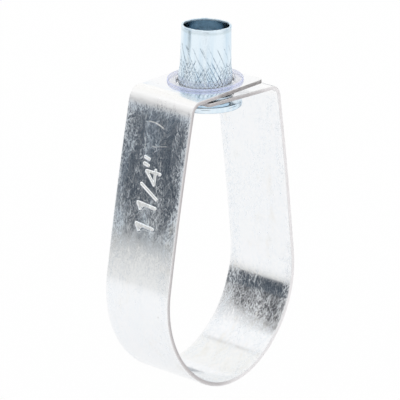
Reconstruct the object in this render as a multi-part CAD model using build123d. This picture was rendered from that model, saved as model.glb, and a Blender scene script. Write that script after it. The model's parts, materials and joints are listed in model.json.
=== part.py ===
from build123d import *
import os
from collections import namedtuple
from math import cos, degrees, radians, sin, tan

# Swivel ring hanger: a pear-shaped strap ring that carries one pipe and hangs from a rod.
# It is three pieces. One flat strip of galvanised steel is bent round the pipe, and its two
# ends are folded over each other as tabs with a hole. A knurled nut with a flange sits in
# those holes from below, and a plastic washer pushed over its knurl keeps it there. The
# ring swivels round the nut, and slides down it by a small play until it sits on the flange.
#
# X runs across the ring, Y along the pipe and +Z up the rod. Heights in the functions start
# at the pipe seat, the lowest point inside the ring. The finished pieces are then moved, so
# that the origin lies on the swivel axis where the rod enters the nut's thread.

# Pipe and strap
PIPE_RADIUS = 21.1
PIPE_SIDE_GAP = 0.5
STRAP_WIDTH = 20.5
STRAP_THICKNESS = 1.0

# Outline of the strap's inside: seat arc, side arcs, then legs that bow and lean inwards
SEAT_RADIUS = 18.6
SEAT_HALF_ANGLE = 32.0
LEG_LEAN_LOW = 7.5
LEG_LEAN_HIGH = 10.6
BEND_RADIUS = 2.2

# Tabs: the lower one comes from the right leg, the upper one from the left leg
LOWER_TAB_HEIGHT = 70.9
LOWER_TAB_REACH = 9.5
UPPER_TAB_REACH = 9.4
UPPER_TAB_RISE = 3.4
TAB_GAP_ON_AXIS = 0.9
TAB_CORNER_RADIUS = 1.0

# Thread of the 3/8 inch rod, at the crests of the nut's thread
THREAD_RADIUS = 3.97

# Swivel nut
NUT_LENGTH = 19.8
FLANGE_RADIUS = 9.0
FLANGE_THICKNESS = 1.5
FLANGE_EDGE_RADIUS = 0.5
NUT_FOOT_RADIUS = 6.45
NUT_TOP_RADIUS = 6.0
COUNTERBORE_RADIUS = 5.53
COUNTERBORE_DEPTH = 6.12
MOUTH_CHAMFER = 0.8
RIM_EDGE = 0.15

# Knurl: it swells the sleeve below the smooth top and flares out to the foot. Fine grooves run
# up from the washer one way, and shorter ones cross them at the foot
KNURL_RADIUS = 6.15
KNURL_FLARE_LENGTH = 2.2
SMOOTH_TOP_LENGTH = 4.0
CROSS_KNURL_START = 7.7
KNURL_COUNT = 19
KNURL_LEAN = 27.0
KNURL_GROOVE_DEPTH = 0.12
KNURL_GROOVE_ANGLE = 80.0
KNURL_CUTTER_REACH = 0.8

# Retaining washer
WASHER_RADIUS = 9.2
WASHER_THICKNESS = 0.6
WASHER_NECK_HEIGHT = 1.0
WASHER_NECK_WALL = 0.35

# Clearances
SWIVEL_CLEARANCE = 0.05
TAB_HOLE_CLEARANCE = 0.45
DROP_PLAY = 1.5
FLANGE_CLEARANCE = 0.1

# How far a cutter runs past what it cuts, and how closely an edge's length has to match
CUTTER_OVERRUN = 2.0
LENGTH_MATCH = 1e-4

# Values worked out from the ones above
RING_HALF_WIDTH = PIPE_RADIUS + PIPE_SIDE_GAP
KNURL_ROOT_RADIUS = KNURL_RADIUS - KNURL_GROOVE_DEPTH
TAB_HOLE_RADIUS = NUT_FOOT_RADIUS + TAB_HOLE_CLEARANCE
UPPER_TAB_HEIGHT = LOWER_TAB_HEIGHT + STRAP_THICKNESS + TAB_GAP_ON_AXIS
WASHER_SEAT = UPPER_TAB_HEIGHT + STRAP_THICKNESS / cos(radians(UPPER_TAB_RISE))
WASHER_BORE_RADIUS = NUT_FOOT_RADIUS + SWIVEL_CLEARANCE
NUT_BASE = LOWER_TAB_HEIGHT - DROP_PLAY - FLANGE_CLEARANCE - FLANGE_THICKNESS
THREAD_START = NUT_BASE + NUT_LENGTH - COUNTERBORE_DEPTH - (COUNTERBORE_RADIUS - THREAD_RADIUS)
WASHER_STACK = WASHER_THICKNESS + WASHER_NECK_HEIGHT

Tab = namedtuple("Tab", "height rise reach")
LOWER_TAB = Tab(LOWER_TAB_HEIGHT, 0.0, LOWER_TAB_REACH)
UPPER_TAB = Tab(UPPER_TAB_HEIGHT, UPPER_TAB_RISE, UPPER_TAB_REACH)


def heading(angle):
    """Unit vector in the side view, at an angle in degrees from +X."""
    return Vector(cos(radians(angle)), sin(radians(angle)))


def unit_arc(start, end):
    """From start to end of a left-turning arc of radius 1 between two headings in degrees."""
    return Vector(
        sin(radians(end)) - sin(radians(start)), cos(radians(start)) - cos(radians(end))
    )


def side_radius():
    """Radius that takes the side arc from the seat arc's end out to the ring's half width."""
    spread = sin(radians(SEAT_HALF_ANGLE))
    return (RING_HALF_WIDTH - SEAT_RADIUS * spread) / (1 - spread)


def bow_radius(tab):
    """Radius at which a bowed leg, from the side arc to the bend, ends at its tab's height."""
    low, high, flat = 90 + LEG_LEAN_LOW, 90 + LEG_LEAN_HIGH, 180 - tab.rise
    seat_end = unit_arc(0, SEAT_HALF_ANGLE) * SEAT_RADIUS
    leg_start = seat_end + unit_arc(SEAT_HALF_ANGLE, low) * side_radius()
    missing = Vector(0, tab.height) - leg_start - unit_arc(high, flat) * BEND_RADIUS
    return missing.dot(heading(90 - tab.rise)) / unit_arc(low, high).dot(heading(90 - tab.rise))


def leg_line(tab, offset):
    """One leg and its tab as drawn on the right, offset outside the strap's inner face."""
    low, high, flat = 90 + LEG_LEAN_LOW, 90 + LEG_LEAN_HIGH, 180 - tab.rise
    seat_end = Vector(0, -offset) + unit_arc(0, SEAT_HALF_ANGLE) * (SEAT_RADIUS + offset)
    side = JernArc(
        seat_end, heading(SEAT_HALF_ANGLE), side_radius() + offset, low - SEAT_HALF_ANGLE
    )
    leg = JernArc(side @ 1, heading(low), bow_radius(tab) + offset, high - low)
    bend = JernArc(leg @ 1, heading(high), BEND_RADIUS + offset, flat - high)
    return Curve() + [side, leg, bend, Line(bend @ 1, tab_end(tab, offset))]


def tab_end(tab, offset):
    """Where a tab ends, as drawn on the right, offset outside the strap's inner face."""
    return (
        Vector(0, tab.height) + heading(180 - tab.rise) * tab.reach + heading(90 - tab.rise) * offset
    )


def strap_line(offset):
    """The whole run of the strap from tab end to tab end, offset outside its inner face."""
    seat = CenterArc(
        (0, SEAT_RADIUS), SEAT_RADIUS + offset, -90 - SEAT_HALF_ANGLE, 2 * SEAT_HALF_ANGLE
    )
    left = mirror(leg_line(UPPER_TAB, offset), about=Plane.YZ)
    return leg_line(LOWER_TAB, offset).edges() + [seat] + left.edges()


def drill(radius, low, high):
    """Upright cylinder on the swivel axis that cuts through everything between two heights."""
    length = high - low + 2 * CUTTER_OVERRUN
    base = (Align.CENTER, Align.CENTER, Align.MIN)
    return Pos(0, 0, low - CUTTER_OVERRUN) * Cylinder(radius, length, align=base)


def band():
    """The bent strip: its side view extruded over the strap's width, holed and trimmed."""
    lower_cut = Line(tab_end(LOWER_TAB, 0), tab_end(LOWER_TAB, STRAP_THICKNESS))
    upper_cut = Line(tab_end(UPPER_TAB, 0), tab_end(UPPER_TAB, STRAP_THICKNESS))
    outline = strap_line(0) + strap_line(STRAP_THICKNESS)
    outline += [lower_cut, mirror(upper_cut, about=Plane.YZ).edge()]
    strip = extrude(Plane.XZ * make_face(outline), amount=STRAP_WIDTH / 2, both=True)
    corners = strip.edges().filter_by(
        lambda edge: abs(edge.length - STRAP_THICKNESS) < LENGTH_MATCH
    )
    strip = fillet(corners, TAB_CORNER_RADIUS)
    return strip - drill(TAB_HOLE_RADIUS, LOWER_TAB_HEIGHT, WASHER_SEAT)


def knurl_cutter(start, end, lean):
    """Ring of twisted triangular blades between two heights, leaning by an angle in degrees."""
    height = end - start
    twist = degrees(height * tan(radians(lean)) / NUT_FOOT_RADIUS)
    half_mouth = KNURL_CUTTER_REACH * tan(radians(KNURL_GROOVE_ANGLE / 2))
    outer = KNURL_ROOT_RADIUS + KNURL_CUTTER_REACH
    blade = Polyline(
        (KNURL_ROOT_RADIUS, 0), (outer, half_mouth), (outer, -half_mouth), close=True
    )
    blades = []
    for number in range(KNURL_COUNT):
        section = Rot(0, 0, number * 360 / KNURL_COUNT) * make_face(blade)
        blades.append(
            Solid.extrude_linear_with_rotation(
                Pos(0, 0, start) * section.face(), (0, 0, start), (0, 0, height), twist
            )
        )
    return blades


def swivel_nut():
    """The turned nut: flange, neck, knurled sleeve and a smooth mouth above the thread."""
    top = NUT_BASE + NUT_LENGTH
    knurl_top = top - SMOOTH_TOP_LENGTH
    knurl_foot = WASHER_SEAT + WASHER_STACK
    floor = top - COUNTERBORE_DEPTH
    profile = make_face(
        Polyline(
            (THREAD_RADIUS + MOUTH_CHAMFER, NUT_BASE),
            (FLANGE_RADIUS, NUT_BASE),
            (FLANGE_RADIUS, NUT_BASE + FLANGE_THICKNESS),
            (NUT_FOOT_RADIUS, NUT_BASE + FLANGE_THICKNESS),
            (NUT_FOOT_RADIUS, knurl_foot),
            (KNURL_RADIUS, knurl_foot + KNURL_FLARE_LENGTH),
            (KNURL_RADIUS, knurl_top),
            (NUT_TOP_RADIUS, knurl_top + KNURL_RADIUS - NUT_TOP_RADIUS),
            (NUT_TOP_RADIUS, top - RIM_EDGE),
            (NUT_TOP_RADIUS - RIM_EDGE, top),
            (COUNTERBORE_RADIUS, top),
            (COUNTERBORE_RADIUS, floor),
            (THREAD_RADIUS, THREAD_START),
            (THREAD_RADIUS, NUT_BASE + MOUTH_CHAMFER),
            close=True,
        )
    )
    flange_corners = profile.vertices().filter_by_position(Axis.X, FLANGE_RADIUS, FLANGE_RADIUS)
    profile = fillet(flange_corners, FLANGE_EDGE_RADIUS)
    nut = revolve(Plane.XZ * profile, Axis.Z)
    long_grooves = knurl_cutter(WASHER_SEAT, knurl_top, -KNURL_LEAN)
    cross_grooves = knurl_cutter(WASHER_SEAT, top - CROSS_KNURL_START, KNURL_LEAN)
    return nut - long_grooves - cross_grooves


def retaining_washer():
    """The soft washer: a disc lying on the upper tab, with a low neck round the nut."""
    seat = Pos(0, 0, WASHER_SEAT) * Rot(0, -UPPER_TAB_RISE, 0)
    up = (Align.CENTER, Align.CENTER, Align.MIN)
    neck_radius = WASHER_BORE_RADIUS + WASHER_NECK_WALL
    disc = Cylinder(WASHER_RADIUS, WASHER_THICKNESS, align=up)
    neck = Cylinder(neck_radius, WASHER_STACK, align=up)
    return seat * (disc + neck) - drill(WASHER_BORE_RADIUS, WASHER_SEAT, WASHER_SEAT + WASHER_STACK)


os.makedirs("parts", exist_ok=True)
for name, piece in (
    ("band", band()),
    ("swivel_nut", swivel_nut()),
    ("retaining_washer", retaining_washer()),
):
    export_step(Pos(0, 0, -THREAD_START) * piece, f"parts/{name}.step")
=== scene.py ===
"""Looks of a swivel ring hanger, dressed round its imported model.

Three pieces are worked out here as surfaces on grids: the bent strap with its sheared edges and
stamped size, the turned nut with its knurl and thread, and the soft washer. Lengths are in
millimetres until a mesh is made, and heights in the strap's outline start at the pipe seat. The
materials and their fades are in metres, as the meshes are.
"""
import json
import logging
from dataclasses import dataclass, field, replace
from enum import Enum
from math import cos, pi, radians, sin, tan

import bpy
import numpy as np
from mathutils import Matrix, Vector


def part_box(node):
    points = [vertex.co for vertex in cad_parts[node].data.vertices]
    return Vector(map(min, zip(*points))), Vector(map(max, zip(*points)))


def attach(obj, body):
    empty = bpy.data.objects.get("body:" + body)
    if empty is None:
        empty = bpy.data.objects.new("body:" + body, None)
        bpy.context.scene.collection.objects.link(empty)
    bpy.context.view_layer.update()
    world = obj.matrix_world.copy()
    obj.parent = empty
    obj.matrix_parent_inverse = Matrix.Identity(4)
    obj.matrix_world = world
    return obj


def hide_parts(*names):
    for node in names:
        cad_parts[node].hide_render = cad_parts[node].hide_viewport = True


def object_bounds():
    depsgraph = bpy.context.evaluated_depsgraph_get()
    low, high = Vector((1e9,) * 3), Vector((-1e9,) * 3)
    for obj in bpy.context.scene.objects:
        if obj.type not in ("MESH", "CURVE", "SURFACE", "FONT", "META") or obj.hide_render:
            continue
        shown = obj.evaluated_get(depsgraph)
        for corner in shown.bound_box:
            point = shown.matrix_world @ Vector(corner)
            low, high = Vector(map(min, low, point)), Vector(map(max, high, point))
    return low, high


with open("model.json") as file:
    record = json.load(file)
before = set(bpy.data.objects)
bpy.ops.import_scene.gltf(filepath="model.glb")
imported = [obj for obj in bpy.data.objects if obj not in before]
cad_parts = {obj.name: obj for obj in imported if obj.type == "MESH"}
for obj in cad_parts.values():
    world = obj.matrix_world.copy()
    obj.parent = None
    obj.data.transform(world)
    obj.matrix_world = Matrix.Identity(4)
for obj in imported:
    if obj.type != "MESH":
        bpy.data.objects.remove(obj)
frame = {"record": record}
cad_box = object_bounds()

MM = 0.001
Array = np.ndarray
Colour = tuple[float, float, float]
Piece = bpy.types.Object
Socket = bpy.types.NodeSocket
Value = Socket | float

log = logging.getLogger("ring_hanger")


class Body(Enum):
    """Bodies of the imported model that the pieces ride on."""

    NUT = "nut"
    WASHER = "washer"
    RING = "ring"


class Slot(Enum):
    """The record's material slots."""

    STRAP = "galvanised_strap"
    NUT = "bright_zinc"
    WASHER = "clear_plastic"


class Mark(Enum):
    """Names of the mesh attributes that the materials read.

    The first is the place on the flat strip. The others are masks: sheared edges, the struck size
    mark, what bending polished, the knurl's grooves, which the nut's colour darkens as painted shade,
    the inside of the nut, painted darker as shade too, the share of matt hairs and the haze, which
    also places a painted bluish reflection on the left leg.
    """

    STRIP = "strip_place"
    CUT = "cut_edge"
    STAMP = "stamped"
    WORKED = "worked"
    GROOVE = "groove"
    INSIDE = "inside"
    WOOL = "wool"
    HAZE = "haze"


def mount_height(name: str) -> float:
    """Height of one of the record's mounts in the row frame, in millimetres."""
    mount = next(m for m in frame["record"]["mounts"] if m["name"] == name)
    return mount["pos_m"][2] / MM


def smooth_step(low: float, high: float, value: Array) -> Array:
    """Goes from 0 at low to 1 at high along the curve 3 t squared less 2 t cubed."""
    t = np.clip((value - low) / (high - low), 0.0, 1.0)
    return t * t * (3.0 - 2.0 * t)


def spaced(start: float, end: float, step: float) -> Array:
    """Evenly spaced values from start up to, and without, end, about a step apart."""
    count = max(1, int(round(abs(end - start) / step)))
    return np.linspace(start, end, count, endpoint=False)


def grid_quads(rows: int, columns: int, close_rows: bool = False, close_columns: bool = False) -> Array:
    """Four-sided faces of a grid whose point (row, column) has the index row times columns plus column.

    Args:
        rows: Number of rows of points.
        columns: Number of points in a row.
        close_rows: Whether the last row joins the first.
        close_columns: Whether the last column joins the first.

    Returns:
        One line of four point indices for each face.
    """
    row = np.arange(rows if close_rows else rows - 1)[:, None]
    column = np.arange(columns if close_columns else columns - 1)[None, :]
    next_row, next_column = (row + 1) % rows, (column + 1) % columns
    corners = (
        row * columns + column,
        row * columns + next_column,
        next_row * columns + next_column,
        next_row * columns + column,
    )
    return np.stack(corners, axis=-1).reshape(-1, 4)


def facing_out(points: Array, quads: Array) -> Array:
    """The faces of a closed surface, all turned round if the volume that they enclose is negative.

    The volume is a sixth of the sum, over the faces, of corner times the cross product of the
    diagonals, which holds for any closed surface.

    Args:
        points: One line of x, y and z for each point.
        quads: One line of four point indices for each face.

    Returns:
        The faces, with their corners in the order that makes them face outwards.
    """
    a, b, c, d = (points[quads[:, i]] for i in range(4))
    volume = np.einsum("ij,ij->i", a + b + c + d, np.cross(c - a, d - b)).sum()
    return quads if volume > 0 else quads[:, ::-1]


def unit_arc(start: float, end: float) -> Array:
    """From start to end of a left-turning arc of radius 1: differences of the headings' sines, cosines."""
    return np.array([sin(end) - sin(start), cos(start) - cos(end)])


def make_piece(name: str, points: Array, quads: Array, body: Body, node: str) -> Piece:
    """Makes a smooth piece from points in millimetres, and lets it stand for a node of the frame.

    Args:
        name: Name of the new object.
        points: One line of x, y and z for each point, in the row frame.
        quads: Faces of the closed surface.
        body: Body that the piece rides on.
        node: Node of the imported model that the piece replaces.

    Returns:
        The object, at the origin, unturned and unscaled.
    """
    quads = facing_out(points, quads)
    mesh = bpy.data.meshes.new(name)
    mesh.vertices.add(len(points))
    mesh.vertices.foreach_set("co", (points * MM).astype(np.float32).ravel())
    mesh.loops.add(quads.size)
    mesh.loops.foreach_set("vertex_index", quads.astype(np.int32).ravel())
    mesh.polygons.add(len(quads))
    mesh.polygons.foreach_set("loop_start", np.arange(0, quads.size, 4, dtype=np.int32))
    mesh.update(calc_edges=True)
    mesh.validate()
    mesh.shade_smooth()
    piece = bpy.data.objects.new(name, mesh)
    bpy.context.scene.collection.objects.link(piece)
    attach(piece, body.value)
    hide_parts(node)
    log.info("%s: %d points, %d faces, for node %s", name, len(points), len(quads), node)
    return piece


def set_mask(piece: Piece, mark: Mark, values: Array) -> None:
    """Stores one number for each point of a piece under the mark's name."""
    attribute = piece.data.attributes.new(mark.value, "FLOAT", "POINT")
    attribute.data.foreach_set("value", values.astype(np.float32))


def set_place(piece: Piece, mark: Mark, places: Array) -> None:
    """Stores a place in millimetres for each point of a piece, in metres, under the mark's name."""
    attribute = piece.data.attributes.new(mark.value, "FLOAT_VECTOR", "POINT")
    attribute.data.foreach_set("vector", (places * MM).astype(np.float32).ravel())


@dataclass(frozen=True)
class Bell:
    """A bell-shaped share of a distance: its height at 0 and its width."""

    height: float
    width: float

    def at(self, distance: Array) -> Array:
        """The height times e to the power of minus the square of distance over width."""
        return self.height * np.exp(-((distance / self.width) ** 2))


@dataclass(frozen=True)
class Corner:
    """A corner of a turned profile, with its rounding and the spacing of points after it."""

    radius: float
    height: float
    rounding: float = 0.0
    step: float = 0.5


def turned_profile(corners: list[Corner], arc_points: int = 5) -> Array:
    """A closed profile of radius and height, with its corners rounded by tangent arcs.

    At a corner with unit directions u and v to its neighbours, the arc starts at the rounding
    divided by the tangent of half the angle between them, and its centre lies on their sum.

    Args:
        corners: The profile's corners in order.
        arc_points: Points on each rounded corner.

    Returns:
        One line of radius and height for each point.
    """
    places = np.array([(c.radius, c.height) for c in corners])
    runs = []
    for corner, before, here, after in zip(corners, np.roll(places, 1, 0), places, np.roll(places, -1, 0)):
        if corner.rounding == 0:
            runs.append((here[None, :], corner.step))
            continue
        u = (before - here) / np.linalg.norm(before - here)
        v = (after - here) / np.linalg.norm(after - here)
        half = np.arccos(np.clip(u @ v, -1, 1)) / 2
        centre = here + (u + v) / np.linalg.norm(u + v) * corner.rounding / sin(half)
        share = np.linspace(0, 1, arc_points)[:, None]
        first, last = (here + w * corner.rounding / tan(half) - centre for w in (u, v))
        opening = pi - 2 * half
        arc = (first * np.sin((1 - share) * opening) + last * np.sin(share * opening)) / sin(opening)
        runs.append((centre + arc, corner.step))
    pieces = []
    for (points, step), (following, _) in zip(runs, runs[1:] + runs[:1]):
        gap = np.linalg.norm(following[0] - points[-1])
        share = spaced(0.0, 1.0, min(1.0, step / gap))[1:, None]
        pieces += [points, points[-1] + (following[0] - points[-1]) * share]
    return np.concatenate(pieces)


class BentLine:
    """A line in a plane, of straight and round stretches that meet smoothly and turn left."""

    def __init__(self, start: tuple[float, float], lengths: list[float], turns: list[float]) -> None:
        """Lays the stretches out one after the other.

        Args:
            start: Where the line starts, heading along the plane's first axis.
            lengths: Length of each stretch.
            turns: Left turn over each stretch, in radians, 0 where it is straight.
        """
        self.starts = np.concatenate([[0.0], np.cumsum(lengths)])
        self.headings = np.concatenate([[0.0], np.cumsum(turns)])
        self.bends = np.array(turns) / np.array(lengths)
        chords = self._chord(self.headings[:-1], self.bends, np.array(lengths))
        self.corners = np.array(start) + np.concatenate([[[0.0, 0.0]], np.cumsum(chords, axis=0)])

    @staticmethod
    def _chord(heading: Array, bend: Array, length: Array) -> Array:
        """Chord of an arc: its length times sin(h) / h, where h is half its turn, along its mean heading.

        Args:
            heading: Heading at the arc's start, in radians.
            bend: Turn over a unit of length.
            length: Length of the arc.

        Returns:
            One line of two plane coordinates for each arc.
        """
        half = bend * length / 2
        reach = length * np.sinc(half / pi)
        return np.stack([np.cos(heading + half), np.sin(heading + half)], axis=-1) * reach[..., None]

    def place(self, along: Array, lift: Array) -> Array:
        """Points at a distance along the line, lifted off it to its right.

        Args:
            along: Distances from the line's start.
            lift: Distances to the right of the line.

        Returns:
            One line of two plane coordinates for each distance.
        """
        index = np.clip(np.searchsorted(self.starts, along, side="right") - 1, 0, len(self.bends) - 1)
        run = along - self.starts[index]
        heading = self.headings[index] + self.bends[index] * run
        point = self.corners[index] + self._chord(self.headings[index], self.bends[index], run)
        return point + np.stack([np.sin(heading), -np.cos(heading)], axis=-1) * lift[..., None]


@dataclass(frozen=True)
class Tab:
    """A folded end of the strap: height of its underside on the axis, rise, and reach past the axis."""

    height: float
    rise: float
    reach: float


@dataclass(frozen=True)
class SizeMark:
    """The stamped pipe size on the left leg, in plain strokes that read up the leg, and scratches.

    The two numbers of a wall are shares of a line's half width: its floor ends at the first, and
    the plain face starts at the second.
    """

    foot_height: float = 39.6
    base_across: float = -3.0
    depth: float = 0.13
    wall: tuple[float, float] = (0.35, 1.0)
    lip: Bell = Bell(0.008, 0.3)
    lip_place: float = 1.35
    scratch_depth: float = 0.02
    scratch_wall: tuple[float, float] = (0.2, 1.1)
    # Each stroke goes from one point to another: along the line of text, then up the glyph. The
    # last number is half its width.
    strokes: tuple[tuple[float, float, float, float, float], ...] = (
        (1.6, 0.2, 2.0, 5.6, 0.40), (2.0, 5.6, 0.6, 4.6, 0.38), (1.5, 4.1, 1.75, 5.0, 0.54),
        (6.6, 0.2, 7.0, 5.9, 0.40), (7.0, 5.9, 5.7, 4.9, 0.38), (6.5, 4.3, 6.8, 5.2, 0.50),
        (8.8, 0.1, 11.6, 5.5, 0.35),
        (14.9, 0.0, 14.9, 4.4, 0.36), (14.9, 4.4, 12.1, 1.5, 0.30), (12.1, 1.5, 15.6, 1.5, 0.34),
        (16.2, 4.0, 16.5, 5.4, 0.36), (17.75, 4.0, 18.05, 5.4, 0.36),
    )
    # The scratches: place across and height above the pipe seat of both ends, and half the width.
    scratches: tuple[tuple[float, float, float, float, float], ...] = (
        (2.75, 66.1, 0.85, 66.19, 0.20), (0.85, 66.19, -0.9, 65.85, 0.24),
        (-0.9, 65.85, -2.25, 65.33, 0.20),
        (1.05, 60.6, -0.25, 60.52, 0.12), (-0.25, 60.52, -3.75, 61.38, 0.10),
        (3.1, 62.4, 2.8, 58.9, 0.09), (-2.6, 58.6, -2.9, 55.4, 0.09),
    )

    @staticmethod
    def nearness(points: Array, strokes: tuple[tuple[float, ...], ...]) -> Array:
        """Distance from each point to the nearest stroke's middle line, over half its width.

        Args:
            points: One line of two coordinates for each point.
            strokes: Both ends and half the width of each stroke, in the same coordinates.

        Returns:
            One number for each point, 1 at a stroke's edge.
        """
        ends = np.array(strokes)[None]
        start, run = ends[..., :2], ends[..., 2:4] - ends[..., :2]
        offset = points[:, None, :] - start
        share = np.clip((offset * run).sum(-1) / (run * run).sum(-1), 0, 1)
        distance = np.linalg.norm(offset - share[..., None] * run, axis=-1)
        return (distance / ends[..., 4]).min(axis=1)

    def relief(self, up_leg: Array, across: Array) -> tuple[Array, Array]:
        """Height of the face at each point, and a mask of the strokes and scratches.

        A stroke's floor follows a smooth step over the distance to its middle line, and a low
        bell-shaped lip stands along its edge, as a stamp leaves it.

        Args:
            up_leg: Height of each point above the pipe seat.
            across: Place of each point across the strap.

        Returns:
            The change of height, and the mask from 0 to 1.
        """
        on_text = np.stack([up_leg - self.foot_height, across - self.base_across], axis=-1)
        near = self.nearness(on_text, self.strokes)
        mask = 1 - smooth_step(*self.wall, near)
        near_scratch = self.nearness(np.stack([across, up_leg], axis=-1), self.scratches)
        scratch = 1 - smooth_step(*self.scratch_wall, near_scratch)
        change = self.lip.at(near - self.lip_place) - self.depth * mask - self.scratch_depth * scratch
        return change, np.maximum(mask, scratch)


@dataclass
class StrapRing:
    """The ring: one flat strip bent into a pear shape, with a holed tab at each end.

    The seams of its left and right side are where seat, side, leg, bend and tab start and end.
    """

    width: float = 20.5
    thickness: float = 1.0
    seat_radius: float = 18.6
    seat_half_angle: float = radians(32.0)
    half_width: float = 21.6
    lean_low: float = radians(7.5)
    lean_high: float = radians(10.6)
    bend_radius: float = 2.2
    lower_tab: Tab = Tab(70.9, 0.0, 9.5)
    upper_tab: Tab = Tab(72.8, radians(3.4), 9.4)
    hole_radius: float = 6.9
    corner_radius: float = 1.0
    edge_radius: float = 0.16
    outer_trim: float = 0.012
    size_mark: SizeMark = field(default_factory=SizeMark)
    # Spacing of the grid's lines, and where the closer ones of the size mark start and end
    plain_step: float = 0.9
    side_step: float = 0.7
    seat_step: float = 0.55
    tab_end_step: float = 0.5
    bend_step: float = 0.2
    mark_step_along: float = 0.17
    mark_step_across: float = 0.16
    mark_half_width: float = 4.2
    mark_above_seam: float = 11.0
    mark_below_seam: float = 0.5
    tab_grid_reach: float = 18.4
    corner_points: int = 7
    tab_rings: int = 8
    edge_shares: tuple[float, ...] = (0.0, 0.134, 0.5, 1.0, 1.6)
    # Polish, haze and matt hairs, by the distance below the bends and from the edges. The haze also marks
    # where a painted bluish reflection lies on the left leg
    bend_polish: Bell = Bell(1.0, 1.3)
    edge_polish: Bell = Bell(0.5, 0.8)
    polish_past_bend: float = 1.0
    bend_haze: Bell = Bell(0.85, 3.3)
    edge_haze: Bell = Bell(0.6, 1.6)
    face_hairs: float = 0.85
    edge_hairs: Bell = Bell(0.45, 3.0)
    hairs_lost_on_tab: float = 0.9
    outer_hairs: float = 0.85
    inner_hairs: float = 1.15
    tab_fade: tuple[float, float] = (-2.0, 1.0)
    cut_fade: tuple[float, float] = (0.1, 0.8)
    # How many times its real size the depth counts in a point's place on the strip, so that the
    # patterns of the two faces differ
    depth_scale: float = 4.0
    left: BentLine = field(init=False)
    right: BentLine = field(init=False)

    def __post_init__(self) -> None:
        """Lays out the strap's mid-line on both sides of the lowest point."""
        self.right = self._half_line(self.lower_tab)
        self.left = self._half_line(self.upper_tab)

    def _half_line(self, tab: Tab) -> BentLine:
        """Mid-line from the lowest point to a tab's end: seat, side, bowed leg, bend and tab.

        The side's radius takes the seat's end out to the ring's half width, and the leg's radius
        is the one at which the bend ends at the tab's height.

        Args:
            tab: The tab that the line ends in.

        Returns:
            The line, as drawn on the right.
        """
        middle = self.thickness / 2
        seat, low = self.seat_half_angle, pi / 2 + self.lean_low
        high, flat = pi / 2 + self.lean_high, pi - tab.rise
        side_radius = (self.half_width - self.seat_radius * sin(seat)) / (1 - sin(seat))
        inside = unit_arc(0, seat) * self.seat_radius + unit_arc(seat, low) * side_radius
        over = np.array([sin(tab.rise), cos(tab.rise)])
        missing = np.array([0, tab.height]) - inside - unit_arc(high, flat) * self.bend_radius
        bow_radius = missing @ over / (unit_arc(low, high) @ over)
        bend_end = inside + unit_arc(low, high) * bow_radius + unit_arc(high, flat) * self.bend_radius
        tab_run = np.array([-cos(tab.rise), sin(tab.rise)])
        tab_length = (np.array([0, tab.height]) + tab_run * tab.reach - bend_end) @ tab_run
        radii = np.array([self.seat_radius, side_radius, bow_radius, self.bend_radius]) + middle
        turns = np.diff([0.0, seat, low, high, flat])
        return BentLine((0.0, -middle), [*(radii * turns), tab_length], [*turns, 0.0])

    def place(self, along: Array, across: Array, lift: Array) -> Array:
        """Points of the strap in the row frame.

        Args:
            along: Distance from the lowest point, negative on the left side.
            across: Place across the strap, along the pipe.
            lift: Distance outside the strap's mid-line.

        Returns:
            One line of x, y and z for each point.
        """
        on_right = along > 0
        right = self.right.place(np.abs(along), lift)
        left = self.left.place(np.abs(along), lift)
        x = np.where(on_right, right[:, 0], -left[:, 0])
        z = np.where(on_right, right[:, 1], left[:, 1]) + mount_height("pipe_seat")
        return np.stack([x, across, z], axis=-1)

    def edge_steps(self) -> Array:
        """Distances from an edge at which points stand, so that its rounding comes out smooth."""
        return self.edge_radius * np.array(self.edge_shares)

    def across_lines(self) -> Array:
        """Places of the grid's lines across the strap: close at its edges and at the stamped size.

        Returns:
            The places in order, from one side to the other.
        """
        side, mark = self.width / 2, self.mark_half_width
        edge = self.edge_steps()
        inner = side - edge[-1]
        return np.concatenate([
            edge - side,
            spaced(-inner, -mark, self.side_step)[1:],
            spaced(-mark, mark, self.mark_step_across),
            spaced(mark, inner, self.side_step),
            side - edge[::-1],
        ])

    def along_lines(self) -> Array:
        """Places of the grid's lines along the strap, close in the bends and at the stamped size.

        Returns:
            The places in order, from the upper tab to the lower one.
        """
        left, right = self.left.starts, self.right.starts
        mark_low = left[2] + self.mark_above_seam
        mark_high = left[3] - self.mark_below_seam
        end = right[5] - self.tab_grid_reach
        return np.concatenate([
            spaced(-(left[5] - self.tab_grid_reach), -left[4], self.plain_step),
            spaced(-left[4], -left[3], self.bend_step),
            spaced(-left[3], -mark_high, self.side_step),
            spaced(-mark_high, -mark_low, self.mark_step_along),
            spaced(-mark_low, -left[2], self.plain_step),
            spaced(-left[2], right[2], self.seat_step),
            spaced(right[2], right[3], self.plain_step),
            spaced(right[3], right[4], self.bend_step),
            spaced(right[4], end, self.plain_step),
            np.array([end]),
        ])

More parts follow.
